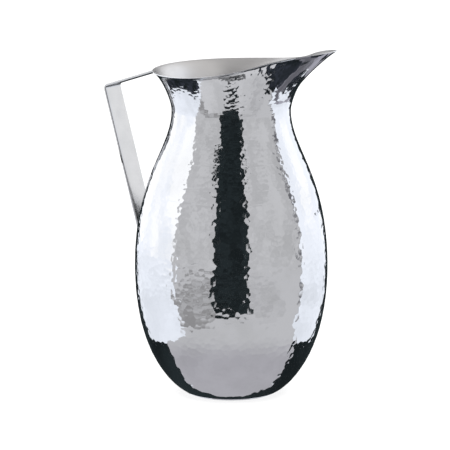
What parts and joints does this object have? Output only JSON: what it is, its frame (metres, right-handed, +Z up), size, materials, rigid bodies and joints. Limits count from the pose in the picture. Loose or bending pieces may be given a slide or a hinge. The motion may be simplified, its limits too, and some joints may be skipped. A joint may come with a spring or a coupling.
{
  "type": "water pitcher",
  "caption": "Tall steel water pitcher with a round belly, waisted neck, flared mouth drawn into a pouring lip, and a flat strap handle.",
  "frame": {"origin": "middle of the flat base's underside, on the axis of the round body", "axes": "+Z up along the body's axis, +X towards the pouring lip, so the handle is at -X and +Y is to the left of someone who looks along +X"},
  "size_m": [0.1808, 0.13, 0.2401],
  "materials": {
    "hammered_steel": "stainless steel, hammered with small round dents and mirror polished outside, satin inside",
    "handle_steel": "smooth stainless strip, fine lengthwise brushing, softly polished",
    "weld_steel": "weld metal, cleaned and brushed"
  },
  "bodies": {
    "root": {"lower_body": "hammered_steel", "upper_body": "hammered_steel", "belly_weld": "weld_steel", "handle": "handle_steel", "arm_weld": "weld_steel", "foot_weld_upper": "weld_steel", "foot_weld_lower": "weld_steel"}
  },
  "joints": []
}
